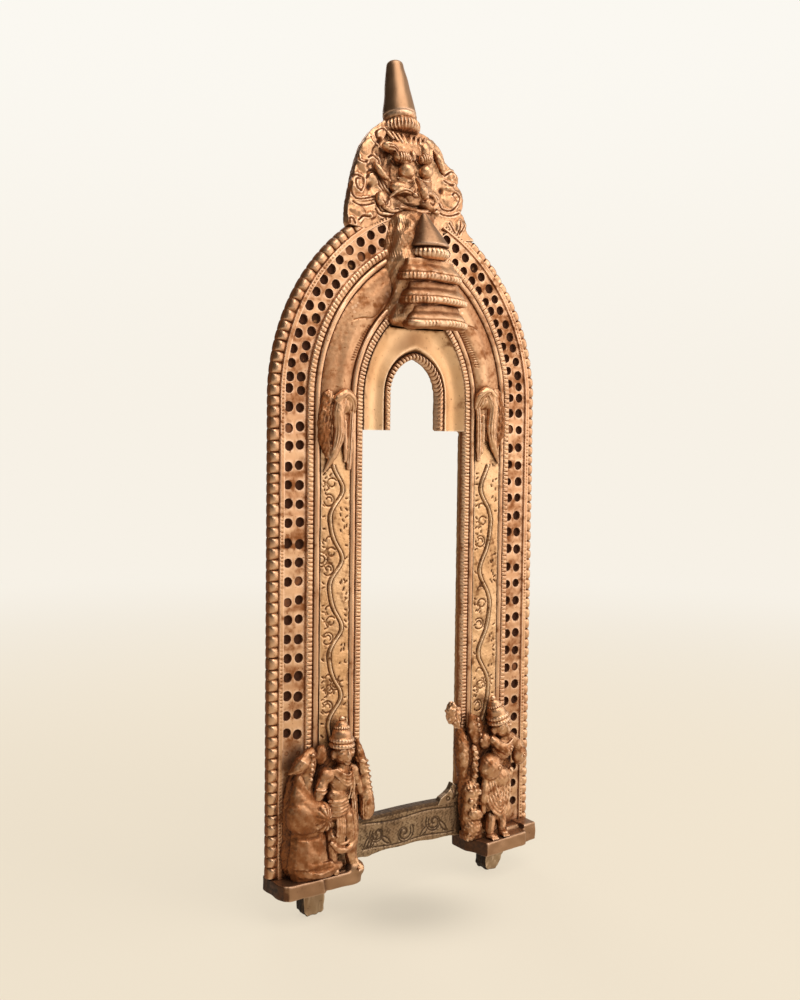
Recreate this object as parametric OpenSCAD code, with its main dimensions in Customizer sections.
// Brass prabhavali: the pointed arch that stands behind a deity image.
// Millimetres, +Z up, the front faces -Y. Z = 0 is the underside of the two pedestals,
// X = 0 is the middle of the arch and Y = 0 is the front face of the back plate.

/* [Arch] */
// Width across the outer beads
frame_w = 118; // [108:1:132]
// Height of the line where the arch springs
spring_z = 173.5; // [166:0.5:186]
// Radius of the outer arch curve
arch_r = 75.7; // [72:0.1:82]
// Thickness of the back plate
plate_t = 1.5; // [1.2:0.1:2.4]
// Width of the seat that carries the crest
crest_seat_w = 57; // [52:1:62]
// Groove between neighbouring bands
groove = 0.2; // [0.1:0.05:0.4]

/* [Bands from the outside in] */
// Width of the outer bead border
bead_w = 3.7; // [3.2:0.1:4.4]
// Height of the beads above the plate
bead_h = 2.6; // [2:0.1:3.2]
// Thickness of the strip that carries the beads
bead_strip_t = 0.9; // [0.6:0.1:1.4]
// Spacing of the beads
bead_pitch = 3.9; // [3.8:0.1:5]
// Width of the outer rail
rail_w = 2.3; // [1.8:0.1:3]
// Height of the outer rail
rail_h = 2.2; // [1.8:0.1:3]
// Width of the pierced band
pierced_w = 7.6; // [7:0.1:9]
// Thickness of the pierced band
pierced_h = 1.5; // [1.2:0.1:2]
// Width of the small bead wire
wire_w = 2.1; // [1.6:0.1:2.8]
// Height of the small bead wire
wire_h = 3; // [2.4:0.1:3.6]
// Width of the plain fillet rail
fillet_w = 2.3; // [1.8:0.1:3]
// Height of the plain fillet rail
fillet_h = 3.2; // [2.6:0.1:3.6]
// Width of the engraved panels and of the bolster above them
panel_w = 11.8; // [10:0.1:13]
// Height of the engraved panels and of the bolster
panel_h = 3; // [2.4:0.1:3.5]
// Width of the inner rail
inner_w = 2.3; // [1.8:0.1:3]
// Height of the inner rail
inner_h = 3.5; // [3:0.1:4]
// Width of the bead wire along the opening
jamb_w = 2.5; // [2:0.1:3]
// Height of the bead wire along the opening
jamb_h = 3.6; // [3:0.1:4.2]

/* [Pierced holes] */
// Diameter of a hole
hole_d = 3; // [2.4:0.1:3.2]
// Spacing of the holes along a row
hole_pitch = 6.6; // [5.5:0.1:8]
// Distance of each row from its edge of the band
hole_inset = 1.75; // [1.7:0.05:1.85]
// Height of the lowest pair of holes
hole_first_z = 16; // [12:1:30]

/* [Niche] */
// Width of the plain surround and roped edge between the niche and the bands
surround_w = 12.3; // [11:0.1:14]
// Distance of the niche sill below the springing line of the arch
sill_drop = 10.8; // [8:0.1:14]
// Distance of the niche's own springing line above that of the arch
niche_rise = 2.5; // [0:0.1:5]
// Distance of each niche arc's centre beyond the middle, which makes the arch pointed
niche_point = 2.5; // [1:0.1:4.5]
// Width of the roped edge
rope_w = 2.3; // [1.8:0.1:3]
// Height of the roped edge
rope_h = 3.2; // [2.6:0.1:3.8]
// Height of the plain niche surround
surround_h = 2.8; // [2:0.1:3.4]

/* [Crossbar] */
// Height of the underside of the bar
bar_z = 7.1; // [6.2:0.1:9]
// Height of the bar face
bar_h = 14.1; // [11:0.1:17]
// Height of the bar above the plate
bar_t = 2.7; // [2:0.1:3.4]
// Distance that each end of the bar laps over a leg
bar_lap = 4.6; // [4.2:0.1:6]
// Diameter of the rivets that hold the bar
bar_rivet_d = 1.8; // [1.4:0.1:2.2]

/* [Crest] */
// Backward lean of the crest in degrees
crest_lean = 10.5; // [6:0.5:14]
// Height of the crest along its own face, up to the collar seat
crest_h = 38.6; // [36:0.1:44]
// Thickness of the crest
crest_t = 3.4; // [3.2:0.1:4.6]
// Width of the tongue behind the crest seat
tongue_w = 26; // [24:0.5:30]
// Length of the tongue down the back of the plate
tongue_len = 14; // [10:0.5:18]
// Thickness of the tongue
tongue_t = 1.5; // [1:0.1:2.4]
// Diameter of the rivets that hold the crest and the bracket
crest_rivet_d = 2; // [1.6:0.1:2.4]
// Distance between those two rivets
crest_rivet_gap = 18.6; // [18:0.2:20]

/* [Finial] */
// Diameter of the fluted collar
collar_d = 14; // [12:0.5:16]
// Height of the collar
collar_h = 6.8; // [5:0.1:9]
// Diameter of the finial at its foot
finial_d = 12.6; // [10:0.1:13.6]
// Diameter of the finial at its rounded tip
finial_tip_d = 6; // [4:0.1:8]
// Height of the finial
finial_h = 21.4; // [17:0.1:26]
// Diameter of the spigot below the finial
spigot_d = 2.2; // [1.8:0.1:2.6]
// Depth of the spigot in the crest
spigot_seat = 4; // [3:0.5:6]

/* [Canopy] */
// Distance of the canopy underside below the crest seat
canopy_drop = 34.2; // [32:0.1:37]
// Height of one tier
tier_h = 7.7; // [6.5:0.1:8.2]
// Height of the rim of a tier
tier_rim_h = 3.2; // [2.4:0.1:4.4]
// Width of the lowest tier
tier_w = 29; // [27:0.5:32]
// Width that each tier loses to the one below
tier_step = 2.6; // [1:0.1:3.4]
// Depth of a tier in front of the bracket
tier_d = 9.5; // [9:0.1:11]
// Setback of a tier's roof from its rim
roof_inset = 1.8; // [1:0.1:2.4]
// Width of the bracket
bracket_w = 24; // [23:0.5:25]
// Depth of the bracket behind the tiers
bracket_d = 5.5; // [5:0.1:6]
// Diameter of the dowels between bracket and tiers
dowel_d = 2; // [1.6:0.1:2.4]
// Depth of a dowel on each side
dowel_grip = 3; // [2:0.5:4]
// Diameter of the bead ring under the cone
ring_d = 15; // [13:0.5:16]
// Height of the bead ring
ring_h = 4.5; // [3.5:0.1:5.5]
// Height of the cone
cone_h = 13.9; // [11:0.1:15]
// Diameter of the rounded top of the cone
cone_tip_d = 1.8; // [1:0.1:3]
// Diameter of the spigot below the cone
cone_spigot_d = 3.6; // [3:0.1:4.4]

/* [Pedestals and tenons] */
// Distance of a pedestal's outer end inside the edge of the arch
ped_end_gap = 1.2; // [0.4:0.1:2]
// Length of a pedestal
ped_w = 33.4; // [31:0.2:35]
// Thickness of a pedestal
ped_t = 5.6; // [4.8:0.1:6]
// Distance of a pedestal's front from the plate face
ped_front = 10.4; // [9.4:0.1:13]
// Distance of a pedestal's back from the plate face
ped_back = 5; // [3.6:0.1:7]
// Corner radius of a pedestal
ped_corner = 2; // [1:0.1:3]
// Distance of a tenon outside the middle of its pedestal
tenon_offset = 0.3; // [-2:0.1:2]
// Width of a tenon
tenon_w = 8.8; // [7:0.1:11]
// Depth of a tenon
tenon_d = 5.4; // [4:0.1:6.4]
// Length of a tenon below the pedestal
tenon_len = 10; // [7:0.5:16]
// Depth of the mortise in the pedestal
mortise = 3.4; // [2.4:0.1:4]

/* [Tassels] */
// Distance of a tassel's lower end below the springing line of the arch
tassel_drop = 25.5; // [22:0.5:29]
// Length of a tassel
tassel_len = 31; // [27:0.5:34]
// Height of a tassel above its panel
tassel_h = 4.2; // [3:0.1:5]

/* [Guardians] */
// Distance of the left guardian group outside the middle of its panel
left_group_shift = 2.9; // [1.9:0.1:3.9]
// Distance of the right guardian group outside the middle of its panel
right_group_shift = 1.9; // [1.4:0.1:2.9]
// Height of a guardian from its feet to the seat of its crown
guardian_h = 45.4; // [42:0.2:48]
// Height of a crown
crown_h = 10.4; // [8:0.2:13]
// Diameter of a crown at its rim
crown_d = 8.8; // [8:0.1:9.6]
// Length of a mace
mace_len = 27; // [24:0.5:29]
// Diameter of a mace's head
mace_d = 5.4; // [4.6:0.1:6]

/* [Hidden] */
$fn = 64;
// Facets of the modelled figures
figure_fn = 18;
eps = 0.01;
brass = "#b98750";
bright = "#cfa468";
dark = "#8a5a30";

half_w = frame_w / 2;
arch_c = arch_r - half_w;
leg_z = ped_t;
crest_z = spring_z + sqrt(pow(arch_r, 2) - pow(crest_seat_w / 2 + arch_c, 2));
sill_z = spring_z - sill_drop;
niche_spring_z = spring_z + niche_rise;
canopy_z = crest_z - canopy_drop;
tassel_z = spring_z - tassel_drop;

// Inset of each band's outer edge from the outer beads
rail_at = bead_w + groove;
pierced_at = rail_at + rail_w + groove;
wire_at = pierced_at + pierced_w + groove;
fillet_at = wire_at + wire_w + groove;
panel_at = fillet_at + fillet_w + groove;
inner_at = panel_at + panel_w + groove;
jamb_at = inner_at + inner_w + groove;
open_at = jamb_at + jamb_w;
open_hw = half_w - open_at;
niche_hw = open_hw - surround_w;
niche_r = niche_hw + niche_point;
// The tallest band is the seat of whatever lies over the bands
seat_h = max(bead_h, rail_h, wire_h, fillet_h, panel_h, inner_h, jamb_h, bar_t);
panel_mid_x = half_w - panel_at - panel_w / 2;

crest_rivet_z = crest_z - tongue_len / 2;
bracket_top = crest_z - groove;
tiers_top = canopy_z + 3 * tier_h;
cone_y = -(bracket_d + cone_spigot_d / 2 + 1);
ped_mid_x = half_w - ped_end_gap - ped_w / 2;
tenon_x = ped_mid_x + tenon_offset;
left_group_x = -panel_mid_x - left_group_shift;
right_group_x = panel_mid_x + right_group_shift;

// A face drawn in X and Z, raised by h towards the front from the plane Y = y.
module upright(h, y = 0) {
    translate([0, y, 0]) rotate([90, 0, 0]) linear_extrude(h) children();
}

// A straight hole or shank along Y from the plane y_front back to y_back.
module along_y(d, x, z, y_front, y_back) {
    translate([x, y_back, z]) rotate([90, 0, 0]) cylinder(d = d, h = y_back - y_front);
}

// Pointed arch of half width hw with straight sides from z0 up to its springing line.
module pointed(hw, r, spring, z0) {
    foot = max(z0, spring - 1);
    if (z0 < spring) translate([-hw, z0]) square([2 * hw, spring - z0]);
    intersection() {
        translate([hw - r, spring]) circle(r);
        translate([r - hw, spring]) circle(r);
        translate([-hw, foot]) square([2 * hw, spring + r - foot]);
    }
}

// The outline of the whole arch, drawn in by d on every side.
module arch_face(d, z0) {
    pointed(half_w - d, arch_r - d, spring_z, z0);
}

// The opening of the niche, let out by d.
module niche_face(d, z0) {
    pointed(niche_hw + d, niche_r + d, niche_spring_z, z0);
}

// Everything above the crest seat.
module above_crest() {
    translate([-half_w, crest_z]) square([frame_w, arch_r]);
}

// The place where the canopy bracket lies on the plate.
module bracket_place() {
    w = bracket_w + 2 * groove;
    translate([-w / 2, canopy_z - groove]) square([w, arch_r]);
}

// One band of the arch, from inset d over width w, down to z0.
module band(d, w, h, z0 = leg_z) {
    upright(h) difference() {
        arch_face(d, z0);
        arch_face(d + w, z0 - 1);
        above_crest();
        bracket_place();
    }
}

// Runs its children on the arch line at inset d, spaced by pitch, on both sides.
module along_arch(d, pitch, z0, z1, clear_x) {
    r = arch_r - d;
    straight = floor((spring_z - z0) / pitch);
    turn = asin((z1 - spring_z) / r);
    steps = floor(turn * PI / 180 * r / pitch);
    for (side = [-1, 1]) {
        for (i = [0 : straight])
            translate([side * (half_w - d), 0, spring_z - i * pitch]) children();
        for (i = [1 : steps]) {
            a = i * pitch / r * 180 / PI;
            x = r * cos(a) - arch_c;
            if (x > clear_x) translate([side * x, 0, spring_z + r * sin(a)]) children();
        }
    }
}

module back_plate() {
    color(dark) difference() {
        upright(plate_t, plate_t) difference() {
            arch_face(0, leg_z);
            above_crest();
            translate([-open_hw, leg_z - 1]) square([2 * open_hw, sill_z - leg_z + 1]);
            niche_face(0, sill_z - 1);
        }
        for (side = [-1, 1]) {
            along_y(crest_rivet_d, side * crest_rivet_gap / 2, crest_rivet_z, -eps, plate_t + eps);
            along_y(bar_rivet_d, side * bar_rivet_x, bar_z + bar_h / 2, -eps, plate_t + eps);
        }
    }
}

module outer_bead_border() {
    color(brass) {
        band(0, bead_w, bead_strip_t);
        along_arch(bead_w / 2, bead_pitch, leg_z + bead_w, crest_z - bead_w, 0)
            rotate([90, 0, 0]) cylinder(d1 = bead_w - 2 * groove, d2 = bead_w / 2, h = bead_h);
    }
}

module outer_rail() {
    color(brass) band(rail_at, rail_w, rail_h);
}

module pierced_band() {
    clear_x = bracket_w / 2 + hole_d;
    color(brass) difference() {
        band(pierced_at, pierced_w, pierced_h);
        for (d = [pierced_at + hole_inset, pierced_at + pierced_w - hole_inset])
            along_arch(d, hole_pitch, hole_first_z, crest_z - hole_d, clear_x)
                along_y(hole_d, 0, 0, -pierced_h - eps, eps);
    }
}

module small_bead_wire() {
    color(bright) band(wire_at, wire_w, wire_h);
}

module fillet_rail() {
    color(bright) band(fillet_at, fillet_w, fillet_h);
}

// One engraved pilaster panel, up to the springing line.
module panel(side) {
    x = side > 0 ? half_w - panel_at - panel_w : panel_at - half_w;
    color(bright) upright(panel_h) translate([x, leg_z]) square([panel_w, spring_z - leg_z]);
}
module left_panel() { panel(-1); }
module right_panel() { panel(1); }

module arch_bolster() {
    color(brass) band(panel_at, panel_w, panel_h, spring_z);
}

module inner_rail() {
    color(bright) band(inner_at, inner_w, inner_h, bar_z + bar_h + groove);
}

module jamb_bead_wire() {
    color(bright) band(jamb_at, jamb_w, jamb_h, bar_z + bar_h + groove);
}

module niche_surround() {
    color(bright) upright(surround_h) difference() {
        arch_face(open_at + groove, sill_z);
        niche_face(rope_w + groove, sill_z - 1);
        bracket_place();
    }
}

module niche_rope_edge() {
    color(brass) upright(rope_h) difference() {
        niche_face(rope_w, sill_z);
        niche_face(0, sill_z - 1);
    }
}

// The rivets stand in the middle of the laps.
bar_rivet_x = open_hw + bar_lap / 2;
bar_rivet_head_d = 1.7 * bar_rivet_d;
rivet_head_h = 0.7;

module crossbar() {
    bar_hw = open_hw + bar_lap;
    color(bright) difference() {
        union() {
            upright(bar_t) translate([-bar_hw, bar_z]) square([2 * bar_hw, bar_h]);
            upright(plate_t + bar_t, plate_t)
                translate([groove - open_hw, bar_z]) square([2 * (open_hw - groove), bar_h]);
        }
        for (side = [-1, 1])
            along_y(bar_rivet_d, side * bar_rivet_x, bar_z + bar_h / 2, -bar_t - eps, eps);
    }
}

// One rivet with a low head at each end of its shank.
module rivet(d, head_d, x, z, y_front, y_back) {
    along_y(d, x, z, y_front, y_back);
    along_y(head_d, x, z, y_back, y_back + rivet_head_h);
}

module crossbar_rivets() {
    z = bar_z + bar_h / 2;
    color(dark) for (side = [-1, 1]) {
        rivet(bar_rivet_d, bar_rivet_head_d, side * bar_rivet_x, z, -bar_t, plate_t);
        along_y(bar_rivet_head_d, side * bar_rivet_x, z, -bar_t - rivet_head_h, -bar_t);
    }
}

// The leaning frame of the crest, with its face up from the crest seat.
module in_crest() {
    translate([0, 0, crest_z]) rotate([-crest_lean, 0, 0]) children();
}

// Foliage lobes of one side of the crest: place along X, place up the face, radius.
crest_lobes = [[18.5, 8, 8.5], [18.5, 18.5, 8], [14.5, 27, 7.5], [8.5, 32.5, 6]];
crest_rise = crest_h / 38.6;
crest_spread = crest_seat_w / 57;
crest_y = -pierced_h;

module crest_outline() {
    foot = crest_seat_w / 2;
    core = 16 * crest_spread;
    toe = 1.5 * crest_rise;
    low = 12 * crest_rise;
    high = 26 * crest_rise;
    polygon([[-foot, -crest_t], [foot, -crest_t], [foot, toe], [core, low], [core, high],
        [collar_d / 2, crest_h], [-collar_d / 2, crest_h], [-core, high], [-core, low], [-foot, toe]]);
    for (side = [-1, 1]) for (lobe = crest_lobes)
        translate([side * lobe[0] * crest_spread, lobe[1] * crest_rise]) circle(lobe[2] * crest_spread);
}

module crest_plate() {
    color(brass) difference() {
        union() {
            difference() {
                in_crest() upright(crest_t, crest_y + crest_t) crest_outline();
                translate([-half_w, -arch_r, crest_z - arch_r]) cube([frame_w, 2 * arch_r, arch_r]);
            }
            upright(tongue_t, plate_t + tongue_t)
                translate([-tongue_w / 2, crest_z - tongue_len])
                    square([tongue_w, tongue_len + 2 * tongue_t]);
        }
        in_crest() translate([0, finial_y, crest_h - spigot_seat])
            cylinder(d = spigot_d, h = spigot_seat + eps);
        for (side = [-1, 1])
            along_y(crest_rivet_d, side * crest_rivet_gap / 2, crest_rivet_z,
                plate_t - eps, plate_t + tongue_t + eps);
    }
}

module crest_rivets() {
    color(dark) for (side = [-1, 1])
        rivet(crest_rivet_d, 2 * crest_rivet_d, side * crest_rivet_gap / 2, crest_rivet_z,
            -dowel_grip, plate_t + tongue_t);
}

// A rounded limb between two balls, drawn k times as large.
module limb(a, ra, b, rb, k = 1) {
    hull() {
        translate(a * k) sphere(ra * k, $fn = figure_fn);
        translate(b * k) sphere(rb * k, $fn = figure_fn);
    }
}

module mask_form() {
    k = crest_rise;
    limb([0, -3, 25], 7, [0, -3, 15], 7, k);
    limb([0, -5, 22], 3, [0, -8, 15], 2.2, k);
    for (s = [-1, 1]) {
        limb([s * 4.6, -4.5, 22.5], 3.4, [s * 7, -3, 22], 3, k);
        limb([s * 2, -6.5, 27], 1.6, [s * 9, -4, 28], 1.4, k);
        limb([s * 3, -5, 30], 2, [s * 8.5, -2.5, 33], 1.4, k);
        limb([s * 2, -6, 12.5], 2, [s * 8, -3, 14.5], 2.6, k);
        limb([s * 10, -2, 14], 3, [s * 12, -2, 24], 2.6, k);
    }
    limb([0, -4, 11.5], 1.8, [0, -4, 10.5], 1.4, k);
}

module kirtimukha_mask() {
    color(brass) in_crest() intersection() {
        mask_form();
        translate([-half_w, crest_y - half_w, 0]) cube([frame_w, half_w, crest_h]);
    }
}

finial_y = crest_y + crest_t / 2;

module finial_collar() {
    waist = collar_d / 2 - 1.2;
    color(brass) in_crest() translate([0, finial_y, crest_h]) rotate_extrude()
        polygon([[spigot_d / 2, 0], [waist, 0], [collar_d / 2, collar_h * 0.3],
            [collar_d / 2, collar_h * 0.6], [waist, collar_h * 0.8], [waist, collar_h],
            [spigot_d / 2, collar_h]]);
}

module finial() {
    tip_r = finial_tip_d / 2;
    dome = tip_r / 2;
    ball = (pow(tip_r, 2) + pow(dome, 2)) / (2 * dome);
    color(bright) in_crest() translate([0, finial_y, crest_h + collar_h]) {
        cylinder(d1 = finial_d, d2 = finial_tip_d, h = finial_h - dome);
        translate([0, 0, finial_h - dome]) intersection() {
            translate([0, 0, dome - ball]) sphere(ball);
            cylinder(r = tip_r, h = dome);
        }
        translate([0, 0, -collar_h - spigot_seat])
            cylinder(d = spigot_d, h = collar_h + spigot_seat + eps);
    }
}

module dowel_holes() {
    for (i = [0 : 2])
        along_y(dowel_d, 0, canopy_z + (i + 0.5) * tier_h, -bracket_d - dowel_grip, dowel_grip - bracket_d);
}

module canopy_bracket() {
    color(dark) difference() {
        upright(bracket_d) translate([-bracket_w / 2, canopy_z])
            square([bracket_w, bracket_top - canopy_z]);
        translate([0, cone_y, tiers_top]) cylinder(d = ring_d + 2 * groove, h = arch_r);
        dowel_holes();
        for (side = [-1, 1])
            along_y(crest_rivet_d, side * crest_rivet_gap / 2, crest_rivet_z, -dowel_grip, eps);
    }
}

// A slab with rounded front corners, its flat back on the bracket.
module tier_plan(w, depth) {
    corner = depth / 3;
    front = -bracket_d - depth;
    translate([-w / 2, front + corner]) square([w, depth - corner]);
    translate([corner - w / 2, front]) square([w - 2 * corner, depth]);
    for (side = [-1, 1]) translate([side * (w / 2 - corner), front + corner]) circle(corner);
}

module canopy_tier(i) {
    w = tier_w - i * tier_step;
    color(brass) difference() {
        translate([0, 0, canopy_z + i * tier_h]) {
            linear_extrude(tier_rim_h) tier_plan(w, tier_d);
            linear_extrude(tier_h) tier_plan(w - 2 * roof_inset, tier_d - roof_inset);
        }
        dowel_holes();
        if (i == 2) translate([0, cone_y, tiers_top - dowel_grip])
            cylinder(d = cone_spigot_d, h = dowel_grip + eps);
    }
}
module canopy_lower_tier() { canopy_tier(0); }
module canopy_middle_tier() { canopy_tier(1); }
module canopy_upper_tier() { canopy_tier(2); }

module canopy_dowels() {
    color(dark) dowel_holes();
}

module canopy_bead_ring() {
    r = ring_d / 2;
    color(brass) translate([0, cone_y, tiers_top]) rotate_extrude()
        polygon([[cone_spigot_d / 2, 0], [r - 1.4, 0], [r, ring_h * 0.35], [r, ring_h * 0.65],
            [r - 1.4, ring_h], [cone_spigot_d / 2, ring_h]]);
}

module canopy_cone() {
    color(bright) translate([0, cone_y, tiers_top + ring_h]) {
        cylinder(d1 = ring_d - 1.2, d2 = cone_tip_d, h = cone_h);
        translate([0, 0, -ring_h - dowel_grip])
            cylinder(d = cone_spigot_d, h = ring_h + dowel_grip + eps);
    }
}

// A hanging tassel on a panel: a cap, two inner strands and one that sweeps outwards.
module tassel(side) {
    k = tassel_len / 31;
    cap_r = panel_w * 0.36;
    top = tassel_z + tassel_len - cap_r;
    y = -panel_h;
    deep = y - tassel_h + 2.2 * k;
    color(brass) intersection() {
        translate([side * panel_mid_x, 0, 0]) mirror([side > 0 ? 1 : 0, 0, 0]) {
            limb([0.6 * k, deep, top], 2.2 * k + cap_r / 2, [0.6 * k, y, top - 4 * k], cap_r * 0.8);
            limb([3.2 * k, deep, top - 3 * k], 1.8 * k, [3.6 * k, y - k, tassel_z + 1.6 * k], 1.6 * k);
            limb([0.4 * k, deep, top - 2 * k], 1.9 * k, [0.2 * k, y - 1.2 * k, tassel_z + 5 * k], 1.5 * k);
            limb([-1.6 * k, deep, top - k], 2 * k, [-2.6 * k, deep, tassel_z + 12 * k], 1.8 * k);
            limb([-2.6 * k, deep, tassel_z + 12 * k], 1.8 * k,
                [-4.6 * k, y - 0.6 * k, tassel_z + 3 * k], 1.1 * k);
        }
        translate([-half_w, y - half_w, 0]) cube([frame_w, half_w, crest_z]);
    }
}
module left_tassel() { tassel(-1); }
module right_tassel() { tassel(1); }

// One pedestal slab with its mortise.
module pedestal(side) {
    depth = ped_front + ped_back;
    c = ped_corner;
    color(bright) difference() {
        translate([side * ped_mid_x, ped_back - depth / 2, 0]) linear_extrude(ped_t) {
            square([ped_w, depth - 2 * c], center = true);
            square([ped_w - 2 * c, depth], center = true);
            for (x = [-1, 1], y = [-1, 1])
                translate([x * (ped_w / 2 - c), y * (depth / 2 - c)]) circle(c);
        }
        translate([side * tenon_x - tenon_w / 2, -tenon_d / 2, -eps])
            cube([tenon_w, tenon_d, mortise + eps]);
    }
}
module left_pedestal() { pedestal(-1); }
module right_pedestal() { pedestal(1); }

module tenon(side) {
    color(brass) translate([side * tenon_x - tenon_w / 2, -tenon_d / 2, -tenon_len])
        cube([tenon_w, tenon_d, tenon_len + mortise]);
}
module left_tenon() { tenon(-1); }
module right_tenon() { tenon(1); }

// Guardian figures: heights are counted from the top of the pedestal.
guardian_rise = guardian_h / 45.4;
guardian_x = 4.8;
guardian_y = -3.6;

// Places a group and keeps only what lies before the bands and above the pedestal.
module in_group(x) {
    intersection() {
        translate([x, -seat_h, ped_t]) children();
        translate([x - half_w, -seat_h - half_w, ped_t]) cube([frame_w, half_w, spring_z]);
    }
}

// A stout figure with one bent leg, one arm on the knee and one raised hand on each side.
module guardian_form() {
    k = guardian_rise;
    g = guardian_x;
    y = guardian_y;
    difference() {
        limb([g, y, 38], 3.4, [g, y, 42.2], 4.2, k);
        translate([g - half_w, -half_w, guardian_h]) cube([frame_w, frame_w, crown_h]);
    }
    limb([g - 6.4, y, 35], 3.4, [g + 4.6, y, 35.4], 3.2, k);
    limb([g - 1, y, 33], 5, [g - 1.6, y, 25], 4.2, k);
    limb([g - 4, y, 21], 4.4, [g + 2, y, 20], 4.6, k);
    limb([g + 1.4, y, 19], 4.6, [g + 1.8, y, 9], 3.8, k);
    limb([g + 3, y, 8], 2.8, [g + 4.6, y, 2], 2.4, k);
    limb([g + 4.6, y, 1.6], 2, [g + 5.4, y - 3, 1.2], 1.6, k);
    limb([g - 2, y - 1, 8], 2.6, [g - 2.6, y - 1, 2], 2.2, k);
    limb([g - 3, y, 21], 4.6, [g - 9.6, y - 2.4, 21.6], 5.2, k);
    limb([g - 2.8, y - 2.4, 20], 1.9, [g - 2.6, y - 2.4, 10], 1.6, k);
    limb([g - 6.6, y, 35], 3, [g - 11, y, 30], 2.6, k);
    limb([g - 11, y, 30], 2.6, [g - 10, y - 2, 25], 2.4, k);
    limb([g - 8.2, y + 1, 45], 2.4, [g - 8.4, y + 1, 37], 3, k);
    limb([g - 11.6, y - 0.4, 44], 1.2, [g - 13.8, y, 39], 2.6, k);
    limb([g - 13.8, y, 39], 2.6, [g - 13.4, y - 0.6, 34], 1.6, k);
    limb([g + 4.6, y, 35.4], 3, [g + 7.4, y, 27], 2.6, k);
    limb([g + 5, y, 34], 2.4, [g + 8, y, 42], 2, k);
}

module guardian(x) {
    color(brass) in_group(x) guardian_form();
}
module left_guardian() { guardian(left_group_x); }
module right_guardian() { guardian(right_group_x); }

// A tiered crown, turned about the head's axis and flat on the head and at its back.
module crown(x) {
    r = crown_d / 2;
    k = guardian_rise;
    color(brass) in_group(x) translate([guardian_x * k, guardian_y * k, guardian_h]) rotate_extrude()
        polygon([[0, 0], [r, 0], [r, crown_h * 0.18], [r * 0.88, crown_h * 0.22],
            [r * 0.88, crown_h * 0.44], [r * 0.74, crown_h * 0.48], [r * 0.6, crown_h * 0.72],
            [r * 0.42, crown_h * 0.76], [r * 0.26, crown_h], [0, crown_h]]);
}
module left_crown() { crown(left_group_x); }
module right_crown() { crown(right_group_x); }

// A mace against the jamb at u, its head at one end, fitted round the arm and the club.
module mace(x, u, head_z, away) {
    r = mace_d / 2;
    k = guardian_rise;
    end_z = head_z + away * mace_len;
    y = -1.6 * k;
    color(brass) in_group(x) difference() {
        union() {
            limb([u, y, head_z], r, [u, y, head_z + away * 1.6 * r], r * 0.9);
            limb([u, y, head_z], r * 0.7, [u - away * 1.4 * k, y, end_z], r / 2);
        }
        guardian_form();
        club_form();
    }
}
module left_mace() { mace(left_group_x, 15 * guardian_rise, 18.6 * guardian_rise, 1); }
module right_mace() { mace(right_group_x, -15 * guardian_rise, 49.6 * guardian_rise, -1); }

// The heavy club that the bent leg rests on, standing on its stepped foot.
module club_form() {
    k = guardian_rise;
    limb([-11.6, -3, 27], 5, [-10.4, -3.6, 21], 6.4, k);
    limb([-13.4, -2.6, 39.4], 2.4, [-12.4, -2.8, 29], 4.2, k);
    limb([-10.4, -3, 12], 5, [-5.4, -3, 10.6], 5.2, k);
    translate([-15 * k, -6.4 * k, 0]) cube([13.6, 6.4, 6.4] * k);
}

module club(x) {
    color(brass) in_group(x) difference() {
        club_form();
        guardian_form();
    }
}
module left_club() { club(left_group_x); }
module right_club() { club(right_group_x); }

back_plate();
outer_bead_border();
outer_rail();
pierced_band();
small_bead_wire();
fillet_rail();
left_panel();
right_panel();
arch_bolster();
inner_rail();
jamb_bead_wire();
niche_surround();
niche_rope_edge();
crossbar();
crossbar_rivets();
crest_plate();
crest_rivets();
kirtimukha_mask();
finial_collar();
finial();
canopy_bracket();
canopy_lower_tier();
canopy_middle_tier();
canopy_upper_tier();
canopy_dowels();
canopy_bead_ring();
canopy_cone();
left_tassel();
right_tassel();
left_pedestal();
right_pedestal();
left_tenon();
right_tenon();
left_guardian();
right_guardian();
left_crown();
right_crown();
left_mace();
right_mace();
left_club();
right_club();
